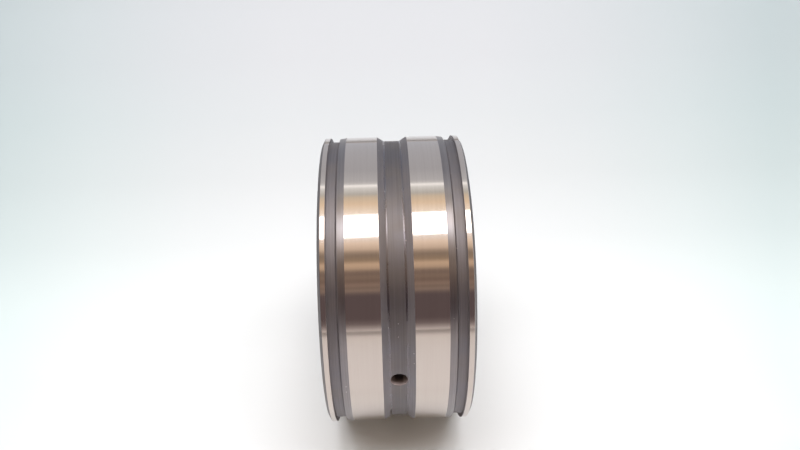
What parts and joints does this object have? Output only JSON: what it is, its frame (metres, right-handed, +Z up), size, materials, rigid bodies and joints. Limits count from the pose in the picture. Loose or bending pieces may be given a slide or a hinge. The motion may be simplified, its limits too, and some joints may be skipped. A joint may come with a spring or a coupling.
{
  "type": "cylindrical roller bearing",
  "caption": "Sealed full-complement double-row cylindrical roller bearing: wide outer ring with retaining-ring grooves and a central lubrication groove, split inner ring.",
  "frame": {"origin": "middle of the bearing: on its axis, half way between the end faces", "axes": "+X along the bearing axis; +Z up as it stands on its outer ring; -Y towards one lubrication hole"},
  "size_m": [0.067, 0.14, 0.14],
  "materials": {
    "ring_steel": "ground outside lands with fine circumferential grinding lines; grooves and end chamfers left dark and unground",
    "inner_ring_steel": "fine ground",
    "roller_steel": "superfinished",
    "band_steel": "cold rolled strip",
    "seal_rubber": "moulded, matt"
  },
  "bodies": {
    "outer_ring": {"outer_ring": "ring_steel"},
    "inner_ring": {"inner_ring_left": "inner_ring_steel", "inner_ring_right": "inner_ring_steel", "retaining_band": "band_steel", "seal_left": "seal_rubber", "seal_right": "seal_rubber"},
    "row_left": {"roller_left_01": "roller_steel"},
    "roller_left_02": {"roller_left_02": "roller_steel"},
    "roller_left_03": {"roller_left_03": "roller_steel"},
    "roller_left_04": {"roller_left_04": "roller_steel"},
    "roller_left_05": {"roller_left_05": "roller_steel"},
    "roller_left_06": {"roller_left_06": "roller_steel"},
    "roller_left_07": {"roller_left_07": "roller_steel"},
    "roller_left_08": {"roller_left_08": "roller_steel"},
    "roller_left_09": {"roller_left_09": "roller_steel"},
    "roller_left_10": {"roller_left_10": "roller_steel"},
    "roller_left_11": {"roller_left_11": "roller_steel"},
    "roller_left_12": {"roller_left_12": "roller_steel"},
    "roller_left_13": {"roller_left_13": "roller_steel"},
    "roller_left_14": {"roller_left_14": "roller_steel"},
    "roller_left_15": {"roller_left_15": "roller_steel"},
    "roller_left_16": {"roller_left_16": "roller_steel"},
    "roller_left_17": {"roller_left_17": "roller_steel"},
    "roller_left_18": {"roller_left_18": "roller_steel"},
    "roller_left_19": {"roller_left_19": "roller_steel"},
    "roller_left_20": {"roller_left_20": "roller_steel"},
    "roller_left_21": {"roller_left_21": "roller_steel"},
    "roller_left_22": {"roller_left_22": "roller_steel"},
    "roller_left_23": {"roller_left_23": "roller_steel"},
    "roller_left_24": {"roller_left_24": "roller_steel"},
    "roller_left_25": {"roller_left_25": "roller_steel"},
    "roller_left_26": {"roller_left_26": "roller_steel"},
    "roller_left_27": {"roller_left_27": "roller_steel"},
    "row_right": {"roller_right_01": "roller_steel"},
    "roller_right_02": {"roller_right_02": "roller_steel"},
    "roller_right_03": {"roller_right_03": "roller_steel"},
    "roller_right_04": {"roller_right_04": "roller_steel"},
    "roller_right_05": {"roller_right_05": "roller_steel"},
    "roller_right_06": {"roller_right_06": "roller_steel"},
    "roller_right_07": {"roller_right_07": "roller_steel"},
    "roller_right_08": {"roller_right_08": "roller_steel"},
    "roller_right_09": {"roller_right_09": "roller_steel"},
    "roller_right_10": {"roller_right_10": "roller_steel"},
    "roller_right_11": {"roller_right_11": "roller_steel"},
    "roller_right_12": {"roller_right_12": "roller_steel"},
    "roller_right_13": {"roller_right_13": "roller_steel"},
    "roller_right_14": {"roller_right_14": "roller_steel"},
    "roller_right_15": {"roller_right_15": "roller_steel"},
    "roller_right_16": {"roller_right_16": "roller_steel"},
    "roller_right_17": {"roller_right_17": "roller_steel"},
    "roller_right_18": {"roller_right_18": "roller_steel"},
    "roller_right_19": {"roller_right_19": "roller_steel"},
    "roller_right_20": {"roller_right_20": "roller_steel"},
    "roller_right_21": {"roller_right_21": "roller_steel"},
    "roller_right_22": {"roller_right_22": "roller_steel"},
    "roller_right_23": {"roller_right_23": "roller_steel"},
    "roller_right_24": {"roller_right_24": "roller_steel"},
    "roller_right_25": {"roller_right_25": "roller_steel"},
    "roller_right_26": {"roller_right_26": "roller_steel"},
    "roller_right_27": {"roller_right_27": "roller_steel"}
  },
  "joints": [
    {"name": "inner_ring_spin", "type": "hinge", "parent": "outer_ring", "child": "inner_ring", "pos_m": [0, 0, 0], "axis": [1, 0, 0], "continuous": true},
    {"name": "row_left_orbit", "type": "hinge", "parent": "outer_ring", "child": "row_left", "pos_m": [0, 0, 0], "axis": [1, 0, 0], "continuous": true},
    {"name": "roller_left_02_spin", "type": "hinge", "parent": "row_left", "child": "roller_left_02", "pos_m": [-0.0148, 0.01326, 0.05595], "axis": [1, 0, 0], "continuous": true},
    {"name": "roller_left_03_spin", "type": "hinge", "parent": "row_left", "child": "roller_left_03", "pos_m": [-0.0148, 0.02581, 0.05138], "axis": [1, 0, 0], "continuous": true},
    {"name": "roller_left_04_spin", "type": "hinge", "parent": "row_left", "child": "roller_left_04", "pos_m": [-0.0148, 0.03696, 0.04405], "axis": [1, 0, 0], "continuous": true},
    {"name": "roller_left_05_spin", "type": "hinge", "parent": "row_left", "child": "roller_left_05", "pos_m": [-0.0148, 0.04612, 0.03434], "axis": [1, 0, 0], "continuous": true},
    {"name": "roller_left_06_spin", "type": "hinge", "parent": "row_left", "child": "roller_left_06", "pos_m": [-0.0148, 0.0528, 0.02277], "axis": [1, 0, 0], "continuous": true},
    {"name": "roller_left_07_spin", "type": "hinge", "parent": "row_left", "child": "roller_left_07", "pos_m": [-0.0148, 0.05663, 0.00998], "axis": [1, 0, 0], "continuous": true},
    {"name": "roller_left_08_spin", "type": "hinge", "parent": "row_left", "child": "roller_left_08", "pos_m": [-0.0148, 0.0574, -0.00334], "axis": [1, 0, 0], "continuous": true},
    {"name": "roller_left_09_spin", "type": "hinge", "parent": "row_left", "child": "roller_left_09", "pos_m": [-0.0148, 0.05508, -0.01649], "axis": [1, 0, 0], "continuous": true},
    {"name": "roller_left_10_spin", "type": "hinge", "parent": "row_left", "child": "roller_left_10", "pos_m": [-0.0148, 0.0498, -0.02875], "axis": [1, 0, 0], "continuous": true},
    {"name": "roller_left_11_spin", "type": "hinge", "parent": "row_left", "child": "roller_left_11", "pos_m": [-0.0148, 0.04182, -0.03946], "axis": [1, 0, 0], "continuous": true},
    {"name": "roller_left_12_spin", "type": "hinge", "parent": "row_left", "child": "roller_left_12", "pos_m": [-0.0148, 0.0316, -0.04804], "axis": [1, 0, 0], "continuous": true},
    {"name": "roller_left_13_spin", "type": "hinge", "parent": "row_left", "child": "roller_left_13", "pos_m": [-0.0148, 0.01967, -0.05403], "axis": [1, 0, 0], "continuous": true},
    {"name": "roller_left_14_spin", "type": "hinge", "parent": "row_left", "child": "roller_left_14", "pos_m": [-0.0148, 0.00668, -0.05711], "axis": [1, 0, 0], "continuous": true},
    {"name": "roller_left_15_spin", "type": "hinge", "parent": "row_left", "child": "roller_left_15", "pos_m": [-0.0148, -0.00668, -0.05711], "axis": [1, 0, 0], "continuous": true},
    {"name": "roller_left_16_spin", "type": "hinge", "parent": "row_left", "child": "roller_left_16", "pos_m": [-0.0148, -0.01967, -0.05403], "axis": [1, 0, 0], "continuous": true},
    {"name": "roller_left_17_spin", "type": "hinge", "parent": "row_left", "child": "roller_left_17", "pos_m": [-0.0148, -0.0316, -0.04804], "axis": [1, 0, 0], "continuous": true},
    {"name": "roller_left_18_spin", "type": "hinge", "parent": "row_left", "child": "roller_left_18", "pos_m": [-0.0148, -0.04182, -0.03946], "axis": [1, 0, 0], "continuous": true},
    {"name": "roller_left_19_spin", "type": "hinge", "parent": "row_left", "child": "roller_left_19", "pos_m": [-0.0148, -0.0498, -0.02875], "axis": [1, 0, 0], "continuous": true},
    {"name": "roller_left_20_spin", "type": "hinge", "parent": "row_left", "child": "roller_left_20", "pos_m": [-0.0148, -0.05508, -0.01649], "axis": [1, 0, 0], "continuous": true},
    {"name": "roller_left_21_spin", "type": "hinge", "parent": "row_left", "child": "roller_left_21", "pos_m": [-0.0148, -0.0574, -0.00334], "axis": [1, 0, 0], "continuous": true},
    {"name": "roller_left_22_spin", "type": "hinge", "parent": "row_left", "child": "roller_left_22", "pos_m": [-0.0148, -0.05663, 0.00998], "axis": [1, 0, 0], "continuous": true},
    {"name": "roller_left_23_spin", "type": "hinge", "parent": "row_left", "child": "roller_left_23", "pos_m": [-0.0148, -0.0528, 0.02277], "axis": [1, 0, 0], "continuous": true},
    {"name": "roller_left_24_spin", "type": "hinge", "parent": "row_left", "child": "roller_left_24", "pos_m": [-0.0148, -0.04612, 0.03434], "axis": [1, 0, 0], "continuous": true},
    {"name": "roller_left_25_spin", "type": "hinge", "parent": "row_left", "child": "roller_left_25", "pos_m": [-0.0148, -0.03696, 0.04405], "axis": [1, 0, 0], "continuous": true},
    {"name": "roller_left_26_spin", "type": "hinge", "parent": "row_left", "child": "roller_left_26", "pos_m": [-0.0148, -0.02581, 0.05138], "axis": [1, 0, 0], "continuous": true},
    {"name": "roller_left_27_spin", "type": "hinge", "parent": "row_left", "child": "roller_left_27", "pos_m": [-0.0148, -0.01326, 0.05595], "axis": [1, 0, 0], "continuous": true},
    {"name": "row_right_orbit", "type": "hinge", "parent": "outer_ring", "child": "row_right", "pos_m": [0, 0, 0], "axis": [1, 0, 0], "continuous": true},
    {"name": "roller_right_02_spin", "type": "hinge", "parent": "row_right", "child": "roller_right_02", "pos_m": [0.0148, 0.01326, 0.05595], "axis": [1, 0, 0], "continuous": true},
    {"name": "roller_right_03_spin", "type": "hinge", "parent": "row_right", "child": "roller_right_03", "pos_m": [0.0148, 0.02581, 0.05138], "axis": [1, 0, 0], "continuous": true},
    {"name": "roller_right_04_spin", "type": "hinge", "parent": "row_right", "child": "roller_right_04", "pos_m": [0.0148, 0.03696, 0.04405], "axis": [1, 0, 0], "continuous": true},
    {"name": "roller_right_05_spin", "type": "hinge", "parent": "row_right", "child": "roller_right_05", "pos_m": [0.0148, 0.04612, 0.03434], "axis": [1, 0, 0], "continuous": true},
    {"name": "roller_right_06_spin", "type": "hinge", "parent": "row_right", "child": "roller_right_06", "pos_m": [0.0148, 0.0528, 0.02277], "axis": [1, 0, 0], "continuous": true},
    {"name": "roller_right_07_spin", "type": "hinge", "parent": "row_right", "child": "roller_right_07", "pos_m": [0.0148, 0.05663, 0.00998], "axis": [1, 0, 0], "continuous": true},
    {"name": "roller_right_08_spin", "type": "hinge", "parent": "row_right", "child": "roller_right_08", "pos_m": [0.0148, 0.0574, -0.00334], "axis": [1, 0, 0], "continuous": true},
    {"name": "roller_right_09_spin", "type": "hinge", "parent": "row_right", "child": "roller_right_09", "pos_m": [0.0148, 0.05508, -0.01649], "axis": [1, 0, 0], "continuous": true},
    {"name": "roller_right_10_spin", "type": "hinge", "parent": "row_right", "child": "roller_right_10", "pos_m": [0.0148, 0.0498, -0.02875], "axis": [1, 0, 0], "continuous": true},
    {"name": "roller_right_11_spin", "type": "hinge", "parent": "row_right", "child": "roller_right_11", "pos_m": [0.0148, 0.04182, -0.03946], "axis": [1, 0, 0], "continuous": true},
    {"name": "roller_right_12_spin", "type": "hinge", "parent": "row_right", "child": "roller_right_12", "pos_m": [0.0148, 0.0316, -0.04804], "axis": [1, 0, 0], "continuous": true},
    {"name": "roller_right_13_spin", "type": "hinge", "parent": "row_right", "child": "roller_right_13", "pos_m": [0.0148, 0.01967, -0.05403], "axis": [1, 0, 0], "continuous": true},
    {"name": "roller_right_14_spin", "type": "hinge", "parent": "row_right", "child": "roller_right_14", "pos_m": [0.0148, 0.00668, -0.05711], "axis": [1, 0, 0], "continuous": true},
    {"name": "roller_right_15_spin", "type": "hinge", "parent": "row_right", "child": "roller_right_15", "pos_m": [0.0148, -0.00668, -0.05711], "axis": [1, 0, 0], "continuous": true},
    {"name": "roller_right_16_spin", "type": "hinge", "parent": "row_right", "child": "roller_right_16", "pos_m": [0.0148, -0.01967, -0.05403], "axis": [1, 0, 0], "continuous": true},
    {"name": "roller_right_17_spin", "type": "hinge", "parent": "row_right", "child": "roller_right_17", "pos_m": [0.0148, -0.0316, -0.04804], "axis": [1, 0, 0], "continuous": true},
    {"name": "roller_right_18_spin", "type": "hinge", "parent": "row_right", "child": "roller_right_18", "pos_m": [0.0148, -0.04182, -0.03946], "axis": [1, 0, 0], "continuous": true},
    {"name": "roller_right_19_spin", "type": "hinge", "parent": "row_right", "child": "roller_right_19", "pos_m": [0.0148, -0.0498, -0.02875], "axis": [1, 0, 0], "continuous": true},
    {"name": "roller_right_20_spin", "type": "hinge", "parent": "row_right", "child": "roller_right_20", "pos_m": [0.0148, -0.05508, -0.01649], "axis": [1, 0, 0], "continuous": true},
    {"name": "roller_right_21_spin", "type": "hinge", "parent": "row_right", "child": "roller_right_21", "pos_m": [0.0148, -0.0574, -0.00334], "axis": [1, 0, 0], "continuous": true},
    {"name": "roller_right_22_spin", "type": "hinge", "parent": "row_right", "child": "roller_right_22", "pos_m": [0.0148, -0.05663, 0.00998], "axis": [1, 0, 0], "continuous": true},
    {"name": "roller_right_23_spin", "type": "hinge", "parent": "row_right", "child": "roller_right_23", "pos_m": [0.0148, -0.0528, 0.02277], "axis": [1, 0, 0], "continuous": true},
    {"name": "roller_right_24_spin", "type": "hinge", "parent": "row_right", "child": "roller_right_24", "pos_m": [0.0148, -0.04612, 0.03434], "axis": [1, 0, 0], "continuous": true},
    {"name": "roller_right_25_spin", "type": "hinge", "parent": "row_right", "child": "roller_right_25", "pos_m": [0.0148, -0.03696, 0.04405], "axis": [1, 0, 0], "continuous": true},
    {"name": "roller_right_26_spin", "type": "hinge", "parent": "row_right", "child": "roller_right_26", "pos_m": [0.0148, -0.02581, 0.05138], "axis": [1, 0, 0], "continuous": true},
    {"name": "roller_right_27_spin", "type": "hinge", "parent": "row_right", "child": "roller_right_27", "pos_m": [0.0148, -0.01326, 0.05595], "axis": [1, 0, 0], "continuous": true}
  ],
  "couplings": [
    {"joint": "row_left_orbit", "follows": "inner_ring_spin", "ratio": 0.44348},
    {"joint": "roller_left_02_spin", "follows": "inner_ring_spin", "ratio": -4.3666},
    {"joint": "roller_left_03_spin", "follows": "inner_ring_spin", "ratio": -4.3666},
    {"joint": "roller_left_04_spin", "follows": "inner_ring_spin", "ratio": -4.3666},
    {"joint": "roller_left_05_spin", "follows": "inner_ring_spin", "ratio": -4.3666},
    {"joint": "roller_left_06_spin", "follows": "inner_ring_spin", "ratio": -4.3666},
    {"joint": "roller_left_07_spin", "follows": "inner_ring_spin", "ratio": -4.3666},
    {"joint": "roller_left_08_spin", "follows": "inner_ring_spin", "ratio": -4.3666},
    {"joint": "roller_left_09_spin", "follows": "inner_ring_spin", "ratio": -4.3666},
    {"joint": "roller_left_10_spin", "follows": "inner_ring_spin", "ratio": -4.3666},
    {"joint": "roller_left_11_spin", "follows": "inner_ring_spin", "ratio": -4.3666},
    {"joint": "roller_left_12_spin", "follows": "inner_ring_spin", "ratio": -4.3666},
    {"joint": "roller_left_13_spin", "follows": "inner_ring_spin", "ratio": -4.3666},
    {"joint": "roller_left_14_spin", "follows": "inner_ring_spin", "ratio": -4.3666},
    {"joint": "roller_left_15_spin", "follows": "inner_ring_spin", "ratio": -4.3666},
    {"joint": "roller_left_16_spin", "follows": "inner_ring_spin", "ratio": -4.3666},
    {"joint": "roller_left_17_spin", "follows": "inner_ring_spin", "ratio": -4.3666},
    {"joint": "roller_left_18_spin", "follows": "inner_ring_spin", "ratio": -4.3666},
    {"joint": "roller_left_19_spin", "follows": "inner_ring_spin", "ratio": -4.3666},
    {"joint": "roller_left_20_spin", "follows": "inner_ring_spin", "ratio": -4.3666},
    {"joint": "roller_left_21_spin", "follows": "inner_ring_spin", "ratio": -4.3666},
    {"joint": "roller_left_22_spin", "follows": "inner_ring_spin", "ratio": -4.3666},
    {"joint": "roller_left_23_spin", "follows": "inner_ring_spin", "ratio": -4.3666},
    {"joint": "roller_left_24_spin", "follows": "inner_ring_spin", "ratio": -4.3666},
    {"joint": "roller_left_25_spin", "follows": "inner_ring_spin", "ratio": -4.3666},
    {"joint": "roller_left_26_spin", "follows": "inner_ring_spin", "ratio": -4.3666},
    {"joint": "roller_left_27_spin", "follows": "inner_ring_spin", "ratio": -4.3666},
    {"joint": "row_right_orbit", "follows": "inner_ring_spin", "ratio": 0.44348},
    {"joint": "roller_right_02_spin", "follows": "inner_ring_spin", "ratio": -4.3666},
    {"joint": "roller_right_03_spin", "follows": "inner_ring_spin", "ratio": -4.3666},
    {"joint": "roller_right_04_spin", "follows": "inner_ring_spin", "ratio": -4.3666},
    {"joint": "roller_right_05_spin", "follows": "inner_ring_spin", "ratio": -4.3666},
    {"joint": "roller_right_06_spin", "follows": "inner_ring_spin", "ratio": -4.3666},
    {"joint": "roller_right_07_spin", "follows": "inner_ring_spin", "ratio": -4.3666},
    {"joint": "roller_right_08_spin", "follows": "inner_ring_spin", "ratio": -4.3666},
    {"joint": "roller_right_09_spin", "follows": "inner_ring_spin", "ratio": -4.3666},
    {"joint": "roller_right_10_spin", "follows": "inner_ring_spin", "ratio": -4.3666},
    {"joint": "roller_right_11_spin", "follows": "inner_ring_spin", "ratio": -4.3666},
    {"joint": "roller_right_12_spin", "follows": "inner_ring_spin", "ratio": -4.3666},
    {"joint": "roller_right_13_spin", "follows": "inner_ring_spin", "ratio": -4.3666},
    {"joint": "roller_right_14_spin", "follows": "inner_ring_spin", "ratio": -4.3666},
    {"joint": "roller_right_15_spin", "follows": "inner_ring_spin", "ratio": -4.3666},
    {"joint": "roller_right_16_spin", "follows": "inner_ring_spin", "ratio": -4.3666},
    {"joint": "roller_right_17_spin", "follows": "inner_ring_spin", "ratio": -4.3666},
    {"joint": "roller_right_18_spin", "follows": "inner_ring_spin", "ratio": -4.3666},
    {"joint": "roller_right_19_spin", "follows": "inner_ring_spin", "ratio": -4.3666},
    {"joint": "roller_right_20_spin", "follows": "inner_ring_spin", "ratio": -4.3666},
    {"joint": "roller_right_21_spin", "follows": "inner_ring_spin", "ratio": -4.3666},
    {"joint": "roller_right_22_spin", "follows": "inner_ring_spin", "ratio": -4.3666},
    {"joint": "roller_right_23_spin", "follows": "inner_ring_spin", "ratio": -4.3666},
    {"joint": "roller_right_24_spin", "follows": "inner_ring_spin", "ratio": -4.3666},
    {"joint": "roller_right_25_spin", "follows": "inner_ring_spin", "ratio": -4.3666},
    {"joint": "roller_right_26_spin", "follows": "inner_ring_spin", "ratio": -4.3666},
    {"joint": "roller_right_27_spin", "follows": "inner_ring_spin", "ratio": -4.3666}
  ]
}
